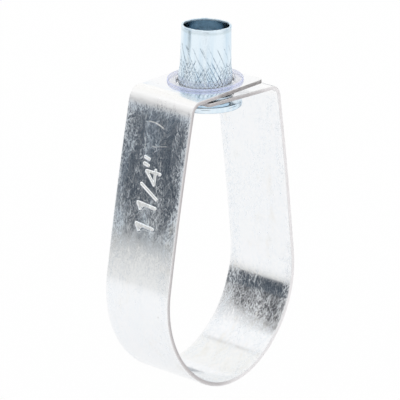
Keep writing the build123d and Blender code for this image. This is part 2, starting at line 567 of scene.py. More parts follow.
    def tab_patch(self, tab: Tab) -> tuple[Array, Array]:
        """Flat grid of one tab round its hole, measured from the tab's end.

        Each grid line runs straight out from the hole's centre to a point of the outline: the
        tab's end with its two round corners, its sides, and the row that it shares with the
        strip. Points stand close together at the hole and at the outline.

        Args:
            tab: The tab.

        Returns:
            Points as distance from the tab's end and place across, and the grid's faces.
        """
        side, corner = self.width / 2, self.corner_radius
        turn = np.linspace(0, pi / 2, self.corner_points)
        lines = self.across_lines()
        sides = spaced(self.tab_grid_reach, corner, self.side_step)[1:]
        end = spaced(side - corner, corner - side, self.tab_end_step)
        round_a = np.stack([corner - corner * np.sin(turn), side - corner + corner * np.cos(turn)], axis=-1)
        round_b = (round_a * [1, -1])[::-1]
        outline = np.concatenate([
            np.stack([np.full(len(lines), self.tab_grid_reach), lines], axis=-1),
            np.stack([sides, np.full(len(sides), side)], axis=-1),
            round_a[:-1],
            np.stack([np.zeros(len(end)), end], axis=-1),
            round_b,
            np.stack([sides, np.full(len(sides), -side)], axis=-1)[::-1],
        ])
        centre = np.array([tab.reach, 0.0])
        reach = np.linalg.norm(outline - centre, axis=1)[:, None]
        ray = (outline - centre) / reach
        near, far = self.edge_steps(), self.edge_steps()[::-1]
        gap = reach - self.hole_radius
        middle = np.linspace(0, 1, self.tab_rings)[None, 1:-1]
        middle = near[-1] + (gap - near[-1] - far[0]) * middle
        steps = np.concatenate([np.repeat(near[None], len(ray), 0), middle, gap - far[None]], axis=1)
        points = centre + ray[None] * (self.hole_radius + steps.T[..., None])
        return points.reshape(-1, 2), grid_quads(len(points), len(ray), close_columns=True)

    def flat_grid(self) -> tuple[Array, Array]:
        """The whole strip laid flat: the two tab patches and the strip between them, joined up.

        Returns:
            Points as places along and across the strip, and faces that all turn the same way.
        """
        along, across = self.along_lines(), self.across_lines()
        strip = np.stack(np.meshgrid(along, across, indexing="ij"), axis=-1).reshape(-1, 2)
        upper, upper_quads = self.tab_patch(self.upper_tab)
        lower, lower_quads = self.tab_patch(self.lower_tab)
        upper = upper - [self.left.starts[-1], 0]
        lower = lower * [-1, 1] + [self.right.starts[-1], 0]
        points = np.concatenate([strip, upper, lower])
        quads = np.concatenate([
            grid_quads(len(along), len(across)),
            upper_quads + len(strip),
            lower_quads[:, ::-1] + len(strip) + len(upper),
        ])
        _, first, index = np.unique(np.round(points, 5), axis=0, return_index=True, return_inverse=True)
        quads = index.reshape(-1)[quads]
        corner = points[first][quads]
        diagonals = corner[:, 2] - corner[:, 0], corner[:, 3] - corner[:, 1]
        area = diagonals[0][:, 0] * diagonals[1][:, 1] - diagonals[0][:, 1] * diagonals[1][:, 0]
        return points[first], np.where((area > 0)[:, None], quads, quads[:, ::-1])

    def edge_distance(self, flat: Array) -> Array:
        """Distance of each flat point from the nearest edge: the rounded outline or a hole.

        Args:
            flat: Places along and across the flat strip.

        Returns:
            One distance for each place, 0 on an edge.
        """
        along, across = flat.T
        start, end = -self.left.starts[-1], self.right.starts[-1]
        past_end = np.maximum(start - along, along - end)
        past_side = np.abs(across) - self.width / 2
        corner = np.stack([past_end + self.corner_radius, past_side + self.corner_radius], axis=-1)
        outline = self.corner_radius - np.linalg.norm(np.maximum(corner, 0), axis=1)
        outline -= np.minimum(corner.max(axis=1), 0)
        upper_hole = np.hypot(along - start - self.upper_tab.reach, across) - self.hole_radius
        lower_hole = np.hypot(end - self.lower_tab.reach - along, across) - self.hole_radius
        return np.maximum(np.minimum(outline, np.minimum(upper_hole, lower_hole)), 0)

    def set_marks(self, piece: Piece, flat: Array, half: Array, stamp: Array) -> None:
        """Stores what the material reads: the place on the flat strip, and a mask for each finish.

        Args:
            piece: The strap. Its points are those of the outer face, then those of the inner one.
            flat: Places along and across the flat strip, for one face.
            half: Half the thickness at each place.
            stamp: Mask of the size mark at each place.
        """
        distance = self.edge_distance(flat)
        plain = np.zeros(len(flat))
        along = np.abs(flat[:, 0])
        leg_end, tab_start = self.left.starts[3:5]
        depth = self.depth_scale * np.concatenate([half, -half])[:, None]
        set_place(piece, Mark.STRIP, np.concatenate([np.tile(flat, (2, 1)), depth], axis=1))
        below_bend = np.maximum(leg_end - along, 0)
        worked = self.bend_polish.at(below_bend) * (along < tab_start + self.polish_past_bend)
        set_mask(piece, Mark.WORKED, np.tile(np.maximum(worked, self.edge_polish.at(distance)), 2))
        on_tab = smooth_step(*(tab_start + np.array(self.tab_fade)), along)
        hairs = (1 - self.hairs_lost_on_tab * on_tab) * (self.face_hairs + self.edge_hairs.at(distance))
        set_mask(piece, Mark.WOOL, np.concatenate([self.outer_hairs * hairs, self.inner_hairs * hairs]))
        haze = np.maximum(self.bend_haze.at(below_bend), self.edge_haze.at(distance))
        set_mask(piece, Mark.HAZE, np.concatenate([haze * (1 - on_tab), plain]))
        cut = 1 - smooth_step(*(self.edge_radius * np.array(self.cut_fade)), distance)
        set_mask(piece, Mark.CUT, np.tile(cut, 2))
        set_mask(piece, Mark.STAMP, np.concatenate([stamp, plain]))

    def build(self) -> Piece:
        """Bends the flat grid, gives it its thickness and joins its edges.

        Both faces are the flat grid lifted by half the thickness, less the rounding of the edge:
        radius minus the root of its square less the square of what is missing to it. A wall
        joins the faces along each edge that only one face of the grid uses.

        Returns:
            The finished piece.
        """
        flat, quads = self.flat_grid()
        along, across = flat.T
        missing = np.clip(self.edge_radius - self.edge_distance(flat), 0, self.edge_radius)
        half = self.thickness / 2 - self.edge_radius + np.sqrt(self.edge_radius**2 - missing**2)
        middle = self.place(along, across, np.zeros(len(flat)))
        relief, stamp = self.size_mark.relief(middle[:, 2] - mount_height("pipe_seat"), across)
        on_left_leg = (along < -self.left.starts[2]) & (along > -self.left.starts[3])
        outer = self.place(along, across, half - self.outer_trim + np.where(on_left_leg, relief, 0))
        inner = self.place(along, across, -half)
        edges = np.stack([quads, np.roll(quads, -1, axis=1)], axis=-1).reshape(-1, 2)
        count = len(flat)
        lone = ~np.isin(edges @ [count, 1], edges @ [1, count])
        a, b = edges[lone].T
        walls = np.stack([b, a, a + count, b + count], axis=-1)
        faces = np.concatenate([quads, quads[:, ::-1] + count, walls])
        points = np.concatenate([outer, inner])
        piece = make_piece("strap_ring", points, faces, Body.RING, "band")
        self.set_marks(piece, flat, half, np.where(on_left_leg, stamp, 0))
        return piece


@dataclass(frozen=True)
class GrooveSet:
    """Rolled grooves that lean one way: their section, and how unevenly they start and press in.

    Starts are heights above or below the set's top, and a groove comes in over its run-out.
    """

    half_width: float
    depth: float
    top: float
    starts: tuple[float, float]
    strengths: tuple[float, float]
    run_out: float
    lip: float = 0.03
    lip_place: float = 1.5
    lip_width: float = 0.5

    def cut(self, chance: np.random.Generator, count: int, number: Array, offset: Array,
            height: Array) -> tuple[Array, Array]:
        """Change of radius that the set makes at each point, and its mask.

        A groove is a V over the distance to its middle, with a bell-shaped lip on each side.
        Each groove's own start and strength are drawn at random.

        Args:
            chance: Source of the random draws.
            count: Number of grooves in the set.
            number: Number of the groove nearest to each point.
            offset: Distance of each point from that groove's middle.
            height: Height of each point.

        Returns:
            The change of radius, and the mask from 0 to 1.
        """
        start = self.top + chance.uniform(*self.starts, count)
        strength = chance.uniform(*self.strengths, count)
        fade = smooth_step(0, self.run_out, start[number] - height) * strength[number]
        vee = np.clip(1 - np.abs(offset) / self.half_width, 0, 1)
        lips = Bell(self.lip, self.lip_width * self.half_width)
        raised = lips.at(np.abs(offset) - self.lip_place * self.half_width)
        return (raised - self.depth * vee) * fade, vee * fade


@dataclass(frozen=True)
class Knurl:
    """Rolled grooves on the nut: long ones lean one way, and a crossing set the other way at the foot.

    Short ones stand between the long ones, lower down.
    """

    count: int = 19
    lean: float = radians(27.0)
    long: GrooveSet = GrooveSet(0.13, 0.10, 3.68, (-0.5, 0.35), (0.55, 1.0), 1.2)
    short: GrooveSet = GrooveSet(0.17, 0.17, -0.9, (-1.0, 1.2), (0.5, 1.0), 1.2)
    crossing: GrooveSet = GrooveSet(0.17, 0.17, -0.02, (-1.2, 1.0), (0.2, 1.1), 1.6)
    deeper_at_foot: float = 0.9
    deepening: tuple[float, float] = (0.5, -3.5)
    # Distances of the grid's columns from a groove's middle: close ones in the groove, wide ones
    # beside it, and the close ones again, a little closer, at the middle of the next short groove
    close_columns: tuple[float, ...] = (0.0, 0.06, 0.12, 0.19, 0.28)
    wide_columns: tuple[float, ...] = (0.42, 0.56, 0.70)
    short_share: float = 0.85
    seed: int = 11

    @property
    def top(self) -> float:
        """Height of the knurl's top, where the long grooves start."""
        return self.long.top

    def columns(self, radius: float) -> Array:
        """Angles of the grid's columns: in each groove's share they crowd at the grooves' middles.

        Args:
            radius: Radius at which the distances between columns are kept.

        Returns:
            The angles in order, once round the nut.
        """
        half_pitch = pi * radius / self.count
        close = np.array(self.close_columns)
        half = np.concatenate([
            close, self.wide_columns, half_pitch - close[:0:-1] * self.short_share, [half_pitch]])
        share = np.concatenate([-half[:0:-1], half[:-1]]) / radius
        starts = np.arange(self.count) * 2 * pi / self.count
        return (starts[:, None] + share[None, :]).ravel()

    def relief(self, angle: Array, column: Array, height: Array, radius: float) -> tuple[Array, Array]:
        """Change of the nut's radius, and a mask of the grooves.

        The long and short grooves follow the grid's columns. A crossing groove's distance is the
        angle to its nearest turn, taken back along its lean, times the radius and the lean's
        cosine.

        Args:
            angle: Angle of each point round the axis.
            column: Angle of each point's column at the knurl's top.
            height: Height of each point.
            radius: Radius to work distances out at.

        Returns:
            The change of radius, and the mask from 0 to 1.
        """
        chance = np.random.default_rng(self.seed)
        pitch = 2 * pi / self.count
        across = radius * cos(self.lean)
        turn = column / pitch
        nearest, between = np.rint(turn), np.floor(turn)
        taken_back = angle - (height - self.crossing.top) * tan(self.lean) / radius
        crossed = taken_back / (pitch / 2)
        sets = (
            (self.long, self.count, nearest, (column - nearest * pitch) * across),
            (self.short, self.count, between, (column - (between + 0.5) * pitch) * across),
            (self.crossing, 2 * self.count, np.rint(crossed),
             (crossed - np.rint(crossed)) * pitch / 2 * across),
        )
        cuts = [
            grooves.cut(chance, count, number.astype(int) % count, offset, height)
            for grooves, count, number, offset in sets
        ]
        deeper = 1 + self.deeper_at_foot * smooth_step(*self.deepening, height)
        change = cuts[0][0] * deeper + cuts[1][0] + cuts[2][0]
        return change, np.maximum(np.maximum(cuts[0][1], cuts[1][1]), cuts[2][1])


@dataclass
class SwivelNut:
    """The turned nut: flange, neck, knurled sleeve, smooth mouth and the rod's thread."""

    foot_radius: float = 6.45
    knurl_radius: float = 6.15
    top_radius: float = 6.0
    neck_top: float = -4.52
    flare_length: float = 2.2
    knurl_foot: float = -6.2
    flange_radius: float = 9.0
    flange_thickness: float = 1.5
    flange_edge: float = 0.5
    bore_radius: float = 5.53
    bore_floor: float = 1.56
    thread_radius: float = 3.97
    thread_depth: float = 0.72
    thread_pitch: float = 25.4 / 16
    thread_flat: float = 0.12
    mouth_chamfer: float = 0.8
    # Burrs of the rim: share of their height, number round the rim and phase of each wave, then
    # share, number and sharpness of the nicks, and where below the top they fade
    rim_ragged: float = 0.14
    rim_waves: tuple[tuple[float, int, float], ...] = ((0.25, 5, 0.7), (0.15, 11, 2.1))
    rim_nicks: tuple[float, int, int] = (0.35, 17, 8)
    rim_fade: tuple[float, float] = (-0.9, -0.1)
    # Where the knurl ends above the neck, and how points are told to be outside or in the thread
    knurl_end: float = 0.2
    wall_margin: float = 0.1
    thread_margin: float = 0.01
    inside_fade: tuple[float, float] = (0.15, 0.5)
    knurl: Knurl = field(default_factory=Knurl)

    def profile(self) -> Array:
        """Closed profile of the nut, from the rim down the outside and back up the bore.

        Returns:
            One line of radius and height for each point.
        """
        low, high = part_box("swivel_nut")
        base, top = low.z / MM, high.z / MM
        shoulder = base + self.flange_thickness
        flare = self.neck_top + self.flare_length
        share = (top - self.knurl.top) / (top - flare)
        radius = self.top_radius + share * (self.knurl_radius - self.top_radius)
        return turned_profile([
            Corner(self.top_radius, top, 0.2, 0.45),
            Corner(radius, self.knurl.top, 0.0, 0.12),
            Corner(self.knurl_radius, flare, 0.5, 0.12),
            Corner(self.foot_radius, self.neck_top, 0.0, 0.14),
            Corner(self.foot_radius, self.knurl_foot, 0.0, 0.7),
            Corner(self.foot_radius, shoulder, 0.25, 0.5),
            Corner(self.flange_radius, shoulder, self.flange_edge, 0.4),
            Corner(self.flange_radius, base, self.flange_edge, 0.6),
            Corner(self.thread_radius + self.mouth_chamfer, base, 0.12, 0.4),
            Corner(self.thread_radius, base + self.mouth_chamfer, 0.0, 0.2),
            Corner(self.thread_radius, 0.0, 0.0, 0.4),
            Corner(self.bore_radius, self.bore_floor, 0.2, 0.5),
            Corner(self.bore_radius, top, 0.12, 0.1),
        ])

    def thread(self, angle: Array, height: Array) -> Array:
        """Depth of the rod's thread: a flat-topped saw of height over the pitch, less the angle's share.

        Args:
            angle: Angle of each point round the axis.
            height: Height of each point.

        Returns:
            How far each point lies outside the thread's crests.
        """
        low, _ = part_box("swivel_nut")
        foot = low.z / MM + self.mouth_chamfer
        turn = height / self.thread_pitch - angle / (2 * pi)
        wave = 1 - 2 * np.abs(turn - np.floor(turn) - 0.5)
        ends = smooth_step(0, self.thread_pitch, height - foot) * smooth_step(0, self.thread_pitch, -height)
        flank = (wave - self.thread_flat) / (1 - 2 * self.thread_flat)
        return self.thread_depth * np.clip(flank, 0, 1) * ends

    def rim(self, angle: Array, height: Array, top: float) -> Array:
        """How far the rim stands below its highest burr: a few long waves and short nicks round it.

        Args:
            angle: Angle of each point round the axis.
            height: Height of each point.
            top: Height of the highest burr.

        Returns:
            How far each point is lowered.
        """
        wave = np.full(angle.shape, 0.5)
        for share, number, phase in self.rim_waves:
            wave += share * np.sin(number * angle + phase)
        share, number, sharpness = self.rim_nicks
        wave += share * np.abs(np.sin(number * angle)) ** sharpness
        fade_start, fade_end = (top + offset for offset in self.rim_fade)
        return self.rim_ragged * np.clip(wave, 0, 1) * smooth_step(fade_start, fade_end, height)

    def build(self) -> Piece:
        """Turns the profile round the axis, with its columns leaning along the knurl.

        The radius of a point is the profile's, changed by the knurl on the outside and by the
        thread in the bore. The whole grid is twisted by the height times the lean's tangent over
        the radius, so that the long grooves run along its columns.

        Returns:
            The finished piece.
        """
        profile = self.profile()
        radius, foot = self.knurl_radius, self.knurl_foot
        columns = self.knurl.columns(radius)
        height = np.repeat(profile[:, 1:], len(columns), axis=1)
        spread = np.repeat(profile[:, :1], len(columns), axis=1)
        column = np.repeat(columns[None, :], len(profile), axis=0)
        top = profile[:, 1].max()
        below_top = self.knurl.top - np.clip(height, foot, None)
        angle = column + below_top * tan(self.knurl.lean) / radius
        change, mask = self.knurl.relief(angle, column, height, radius)
        neck = smooth_step(foot - self.knurl_end, foot + self.knurl_end, height)
        outside = (spread > self.bore_radius + self.wall_margin) & (height > foot)
        in_thread = (spread < self.thread_radius + self.thread_margin) & (height < 0)
        spread = spread + np.where(outside, change * neck, 0)
        spread = spread + np.where(in_thread, self.thread(angle, height), 0)
        height = height - self.rim(angle, height, top)
        points = np.stack([spread * np.cos(angle), spread * np.sin(angle), height], axis=-1).reshape(-1, 3)
        quads = grid_quads(len(profile), len(columns), close_rows=True, close_columns=True)
        piece = make_piece("swivel_nut_turned", points, quads, Body.NUT, "swivel_nut")
        set_mask(piece, Mark.GROOVE, np.where(outside, mask * neck, 0).ravel())
        inside = smooth_step(*self.inside_fade, top - height) * ~outside * (height > foot)
        set_mask(piece, Mark.INSIDE, inside.ravel())
        return piece


@dataclass
class RetainingWasher:
    """The soft clear washer: a disc that lies on the upper tab, with a low neck round the nut."""

    outer_radius: float = 9.2
    thickness: float = 0.6
    neck_height: float = 1.0
    neck_wall: float = 0.35
    bore_radius: float = 6.5
    lift: float = 0.06
    bore_margin: float = 0.02
    columns: int = 240

    def build(self, strap: StrapRing) -> Piece:
        """Turns the washer's profile, tilts it on to the tab and trims its bore upright.

        A point of the bore keeps its direction from the axis and is moved to the bore's radius.

        Args:
            strap: The ring, whose upper tab the washer lies on.

        Returns:
            The finished piece.
        """
        bore, neck = self.bore_radius, self.bore_radius + self.neck_wall
        top = self.thickness + self.neck_height
        profile = turned_profile([
            Corner(bore, self.lift, 0.05, 0.5),
            Corner(self.outer_radius, self.lift, 0.14, 0.2),
            Corner(self.outer_radius, self.thickness, 0.2, 0.3),
            Corner(neck, self.thickness, 0.18, 0.2),
            Corner(neck, top, 0.12, 0.1),
            Corner(bore, top, 0.08, 0.3),
        ])
        angle = np.arange(self.columns) * 2 * pi / self.columns
        spread = np.repeat(profile[:, :1], self.columns, axis=1)
        height = np.repeat(profile[:, 1:], self.columns, axis=1)
        flat = np.stack([spread * np.cos(angle), spread * np.sin(angle), height], axis=-1).reshape(-1, 3)
        tab = strap.upper_tab
        seat = mount_height("pipe_seat") + tab.height + strap.thickness / cos(tab.rise)
        tilt = np.array(Matrix.Rotation(-tab.rise, 3, "Y"))
        points = flat @ tilt.T + [0, 0, seat]
        off_axis = np.linalg.norm(points[:, :2], axis=1)
        in_bore = (spread < bore + self.bore_margin).ravel()
        scale = np.where(in_bore, bore / off_axis, 1)
        points[:, :2] *= scale[:, None]
        quads = grid_quads(len(profile), self.columns, close_rows=True, close_columns=True)
        return make_piece("clear_washer", points, quads, Body.WASHER, "retaining_washer")


@dataclass(frozen=True)
class Fade:
    """A smooth change from start to end while a value goes from low to high."""

    low: Value
    high: Value
    start: Value = 0.0
    end: Value = 1.0


@dataclass(frozen=True)
class Pattern:
    """Values of a noise pattern: its scale along and across, the levels that cut it, and its seed."""

    along: float
    across: float
    low: float
    high: float
    seed: float


@dataclass(frozen=True)
class Specks:
    """Values of scattered specks: cells to a metre, radius in cells, and share of cells with one."""

    spacing: float
    radius: float
    share: float


class ShaderTree:
    """Adds nodes to one node tree and joins them up."""

    def __init__(self, tree: bpy.types.NodeTree) -> None:
        """Keeps the tree that the nodes go into."""
        self.tree = tree

    def add(self, kind: str, sockets: dict | None = None, **settings: object) -> bpy.types.Node:
        """Adds one node.

        Args:
            kind: Type name of the node.
            sockets: Values or output sockets for the node's inputs, by name or number.
            settings: Values of the node's own settings.

        Returns:
            The node.
        """
        node = self.tree.nodes.new(kind)
        for key, value in settings.items():
            setattr(node, key, value)
        for key, value in (sockets or {}).items():
            if isinstance(value, Socket):
                self.tree.links.new(value, node.inputs[key])
            else:
                node.inputs[key].default_value = value
        return node

    def math(self, operation: str, first: Value, second: Value = 0.0, clamp: bool = False) -> Socket:
        """Output of a Math node on two values or sockets."""
        sockets = {0: first, 1: second}
        return self.add("ShaderNodeMath", sockets, operation=operation, use_clamp=clamp).outputs[0]

    def times(self, first: Value, second: Value) -> Socket:
        """The product of two values or sockets."""
        return self.math("MULTIPLY", first, second)

    def most(self, first: Value, second: Value) -> Socket:
        """The larger of two values or sockets."""
        return self.math("MAXIMUM", first, second)

    def fade(self, value: Value, fade: Fade) -> Socket:
        """Output that follows a fade of a value."""
        sockets = {"Value": value, "From Min": fade.low, "From Max": fade.high, "To Min": fade.start,
                   "To Max": fade.end}
        return self.add("ShaderNodeMapRange", sockets, interpolation_type="SMOOTHSTEP").outputs["Result"]

    def mix(self, share: Value, first: Socket | Colour, second: Socket | Colour) -> Socket:
        """Output of a colour mix from first to second."""
        a, b = (value if isinstance(value, Socket) else (*value, 1.0) for value in (first, second))
        return self.add("ShaderNodeMix", {"Factor": share, 6: a, 7: b}, data_type="RGBA").outputs[2]

    def attribute(self, mark: Mark, output: str = "Fac") -> Socket:
        """Output of the mesh attribute with the mark's name."""
        return self.add("ShaderNodeAttribute", attribute_name=mark.value).outputs[output]

    def axes(self, place: Socket) -> list[Socket]:
        """The three coordinates of a place."""
        return list(self.add("ShaderNodeSeparateXYZ", {0: place}).outputs)

    def turned(self, place: Socket, angle: float, axis: str) -> Socket:
        """A place turned round one axis, X, Y or Z, by an angle in radians."""
        sockets = {"Vector": place, "Angle": angle}
        return self.add("ShaderNodeVectorRotate", sockets, rotation_type=f"{axis}_AXIS").outputs[0]

    def effect(
        self, group: bpy.types.NodeTree, place: Socket, values: Pattern | Specks
    ) -> bpy.types.NodeOutputs:
        """Outputs of a copy of a shared effect at a place, with this material's values."""
        sockets = {key.capitalize(): value for key, value in vars(values).items()}
        return self.add("ShaderNodeGroup", {"Place": place, **sockets}, node_tree=group).outputs

    def join(self, source: Socket, target: Socket) -> None:
        """Joins an output to an input."""
        self.tree.links.new(source, target)


def new_effect(
    name: str, values: type, outputs: tuple[str, ...]
) -> tuple[bpy.types.NodeTree, ShaderTree, dict[str, Socket]]:
    """Starts a shader node group with a place and one number for each field of its values.

    Args:
        name: Name of the group.
        values: The class that holds its values.
        outputs: Names of its outputs, which are numbers.

    Returns:
        The group, its tree helper, and the sockets of its input node by name.
    """
    group = bpy.data.node_groups.new(name, "ShaderNodeTree")
    numbers = [key.capitalize() for key in values.__annotations__]
    group.interface.new_socket("Place", in_out="INPUT", socket_type="NodeSocketVector")
    for key in numbers:
        group.interface.new_socket(key, in_out="INPUT", socket_type="NodeSocketFloat")
    for key in outputs:
        group.interface.new_socket(key, in_out="OUTPUT", socket_type="NodeSocketFloat")
    shader = ShaderTree(group)
    entry = shader.add("NodeGroupInput")
    return group, shader, {key: entry.outputs[key] for key in ("Place", *numbers)}


def drawn_out_noise(shader: ShaderTree, entry: dict[str, Socket], **settings: float) -> Socket:
    """Noise over the place times a scale along X and another across it.

    Args:
        shader: Tree of the group that the noise goes into.
        entry: Sockets of the group's input node.
        settings: Detail, roughness and distortion of the noise.

    Returns:
        The noise, from 0 to 1.
    """
    scale = shader.add("ShaderNodeCombineXYZ", {0: entry["Along"], 1: entry["Across"], 2: entry["Across"]})
    sockets = {0: entry["Place"], 1: scale.outputs[0]}
    place = shader.add("ShaderNodeVectorMath", sockets, operation="MULTIPLY").outputs[0]
    sockets = {"Vector": place, "W": entry["Seed"], "Scale": 1.0, **settings}
    return shader.add("ShaderNodeTexNoise", sockets, noise_dimensions="4D").outputs[0]


def mottle_effect() -> bpy.types.NodeTree:
    """Cloudy patches stretched along X: drawn-out noise cut between two levels.

    Returns:
        The group, which puts out the cut mask and the plain noise as a height.
    """
    group, shader, entry = new_effect("mottle", Pattern, ("Mask", "Height"))
    noise = drawn_out_noise(shader, entry, Detail=3.0, Roughness=0.6)
    mask = shader.fade(noise, Fade(entry["Low"], entry["High"]))
    shader.add("NodeGroupOutput", {"Mask": mask, "Height": noise})
    return group


def hairline_effect() -> bpy.types.NodeTree:
    """Fine short lines: the highest parts of noise that is drawn out along X, from a level up.

    Returns:
        The group, which puts out the lines' mask.
    """
    group, shader, entry = new_effect("hairlines", Pattern, ("Mask",))
    noise = drawn_out_noise(shader, entry, Detail=1.0, Roughness=0.4, Distortion=0.35)
    shader.add("NodeGroupOutput", {"Mask": shader.fade(noise, Fade(entry["Low"], entry["High"]))})
    return group


def speck_effect() -> bpy.types.NodeTree:
    """Scattered round specks: inside a radius of Voronoi points, and only in a share of the cells.

    Returns:
        The group, which puts out the specks' mask.
    """
    group, shader, entry = new_effect("specks", Specks, ("Mask",))
    cells = shader.add("ShaderNodeTexVoronoi", {"Vector": entry["Place"], "Scale": entry["Spacing"]})
    lot = shader.add("ShaderNodeSeparateColor", {0: cells.outputs["Color"]}).outputs[0]
    chosen = shader.math("LESS_THAN", lot, entry["Share"])
    dot = shader.fade(cells.outputs["Distance"], Fade(0.0, entry["Radius"], 1.0, 0.0))
    shader.add("NodeGroupOutput", {"Mask": shader.times(dot, chosen)})
    return group


@dataclass(frozen=True)
class Effects:
    """The effects that several materials share."""

    mottle: bpy.types.NodeTree
    hairlines: bpy.types.NodeTree
    specks: bpy.types.NodeTree


def new_material(name: str) -> tuple[bpy.types.Material, ShaderTree, bpy.types.Node]:
    """A material with an empty tree but for its output and a Principled shader.

    Args:
        name: Name of the material.

    Returns:
        The material, its tree helper and the shader's node.
    """
    material = bpy.data.materials.new(name)
    material.use_nodes = True
    material.node_tree.nodes.clear()
    shader = ShaderTree(material.node_tree)
    principled = shader.add("ShaderNodeBsdfPrincipled")
    shader.add("ShaderNodeOutputMaterial", {"Surface": principled.outputs[0]})
    return material, shader, principled


@dataclass(frozen=True)
class GalvanisedFinish:
    """Rolled, galvanised strip: a mirror broken by matt hairs and clouds, with sheared edges, a painted
    bluish reflection on the left leg and a painted highlight on the right side's cut edges.
    """

    mirror: Colour = (0.95, 0.955, 0.965)
    matt: Colour = (0.87, 0.91, 0.95)
    # Painted reflection: a bluish tint on the left leg, below its bend, near its edges and in clouds,
    # standing in for the bluish light mirrored there.
    film: Colour = (0.74, 0.85, 0.96)
    stain: Colour = (0.86, 0.84, 0.80)
    speck: Colour = (0.35, 0.32, 0.29)
    struck: Colour = (0.98, 0.98, 0.97)
    struck_dull: Colour = (0.70, 0.71, 0.71)
    polished: Colour = (0.995, 0.995, 0.995)
    sheared: Colour = (0.60, 0.575, 0.58)
    burnished: Colour = (0.74, 0.72, 0.725)
    # Painted highlight: the pale colour of the cut edges on the right side.
    pale_sheared: Colour = (0.96, 0.945, 0.95)
    tab_sheared: Colour = (0.30, 0.285, 0.28)
    mirror_roughness: float = 0.05
    cloud_roughness: float = 0.04
    worked_roughness: float = 0.09
    struck_roughness: float = 0.50
    haze_roughness: float = 0.12
    hair_roughness: float = 0.25
    sheared_roughness: float = 0.55
    stain_cover: float = 0.5
    speck_cover: float = 0.5
    # The hairs are layers that are turned their own ways on the strip, each with finer hairs
    hair_turns: tuple[float, ...] = (0.05, 0.45, -0.35, 0.95, -0.85)
    hairs: Pattern = Pattern(520.0, 2900.0, 0.50, 0.76, 3.0)
    finer_layer: float = 80.0
    hair_cover: Fade = Fade(0.0, 1.0, 0.5, 1.0)
    clouds: Pattern = Pattern(90.0, 260.0, 0.34, 0.66, 1.0)
    grain: Pattern = Pattern(1300.0, 2300.0, 0.40, 0.66, 2.0)
    stains: Pattern = Pattern(130.0, 260.0, 0.56, 0.75, 9.0)
    specks: Specks = Specks(420.0, 0.14, 0.035)
    # A painted bluish reflection lies in clouds on the outer face of the upper left leg
    films: Pattern = Pattern(55.0, 170.0, 0.42, 0.66, 5.0)
    film_cover: Fade = Fade(0.0, 1.0, 0.15, 0.65)
    outer_face: Fade = Fade(-0.001, 0.001)
    leg_foot: Fade = Fade(-0.056, -0.046, 1.0, 0.1)
    leg_head: Fade = Fade(-0.092, -0.088)
    # A cut edge is burnished towards the outer face, painted pale on the right side as a painted highlight,
    # and dark on the tabs
    burnish: Fade = Fade(0.0008, 0.0018)
    burnish_wave: float = 0.0012
    pale_start: Fade = Fade(-0.005, 0.004)
    pale_end: Fade = Fade(0.085, 0.093, 0.75, 0.0)
    upper_tab: Fade = Fade(-0.0945, -0.0925, 1.0, 0.0)
    lower_tab: Fade = Fade(0.0925, 0.0945, 0.0, 0.3)
    patches: Pattern = Pattern(900.0, 900.0, 0.40, 0.60, 7.0)
    patch_cover: Fade = Fade(0.0, 1.0, 0.45, 0.9)
    torn_depth: float = 0.00006
    hair_depth: float = 0.0000012

    def hair_layers(self, shader: ShaderTree, effects: Effects, place: Socket) -> Socket:
        """Strongest of several layers of fine hairs, each turned its own way on the strip.

        Args:
            shader: Tree of the material.
            effects: The shared effects.
            place: Place on the strip.

        Returns:
            The hairs' mask.
        """
        strongest: Value = 0.0
        for number, turn in enumerate(self.hair_turns):
            values = replace(
                self.hairs, along=self.hairs.along + number * self.finer_layer, seed=self.hairs.seed + number)
            layer = shader.effect(effects.hairlines, shader.turned(place, turn, "Z"), values)
            strongest = shader.most(layer["Mask"], strongest)
        return strongest

    def hazy(self, shader: ShaderTree, effects: Effects, place: Socket) -> Socket:
        """Mask of the haze near bends and edges and of the painted bluish reflection, on the left leg.

        Args:
            shader: Tree of the material.
            effects: The shared effects.
            place: Place on the strip.

        Returns:
            The mask.
        """
        along, _, depth = shader.axes(place)
        wide = shader.effect(effects.mottle, place, self.films)["Mask"]
        film = shader.times(shader.fade(wide, self.film_cover), shader.fade(depth, self.outer_face))
        on_leg = shader.times(shader.fade(along, self.leg_foot), shader.fade(along, self.leg_head))
        return shader.times(shader.most(shader.attribute(Mark.HAZE), film), on_leg)

    def shear(self, shader: ShaderTree, effects: Effects, place: Socket, grain: Socket) -> Socket:
        """Colour of the sheared edges, with a painted highlight on those of the right side.

        Args:
            shader: Tree of the material.
            effects: The shared effects.
            place: Place on the strip.
            grain: Height of the metal's grain, which makes the burnished band wavy.

        Returns:
            The colour.
        """
        along, _, depth = shader.axes(place)
        wavy = shader.math("ADD", depth, shader.times(grain, self.burnish_wave))
        colour = shader.mix(shader.fade(wavy, self.burnish), self.sheared, self.burnished)
        # Painted highlight: the cut edges on the right side are painted pale.
        pale = shader.times(shader.fade(along, self.pale_start), shader.fade(along, self.pale_end))
        colour = shader.mix(pale, colour, self.pale_sheared)
        on_tab = shader.math("ADD", shader.fade(along, self.upper_tab), shader.fade(along, self.lower_tab))
        patches = shader.effect(effects.mottle, place, self.patches)["Mask"]
        dark = shader.times(on_tab, shader.fade(patches, self.patch_cover))
        return shader.mix(dark, colour, self.tab_sheared)

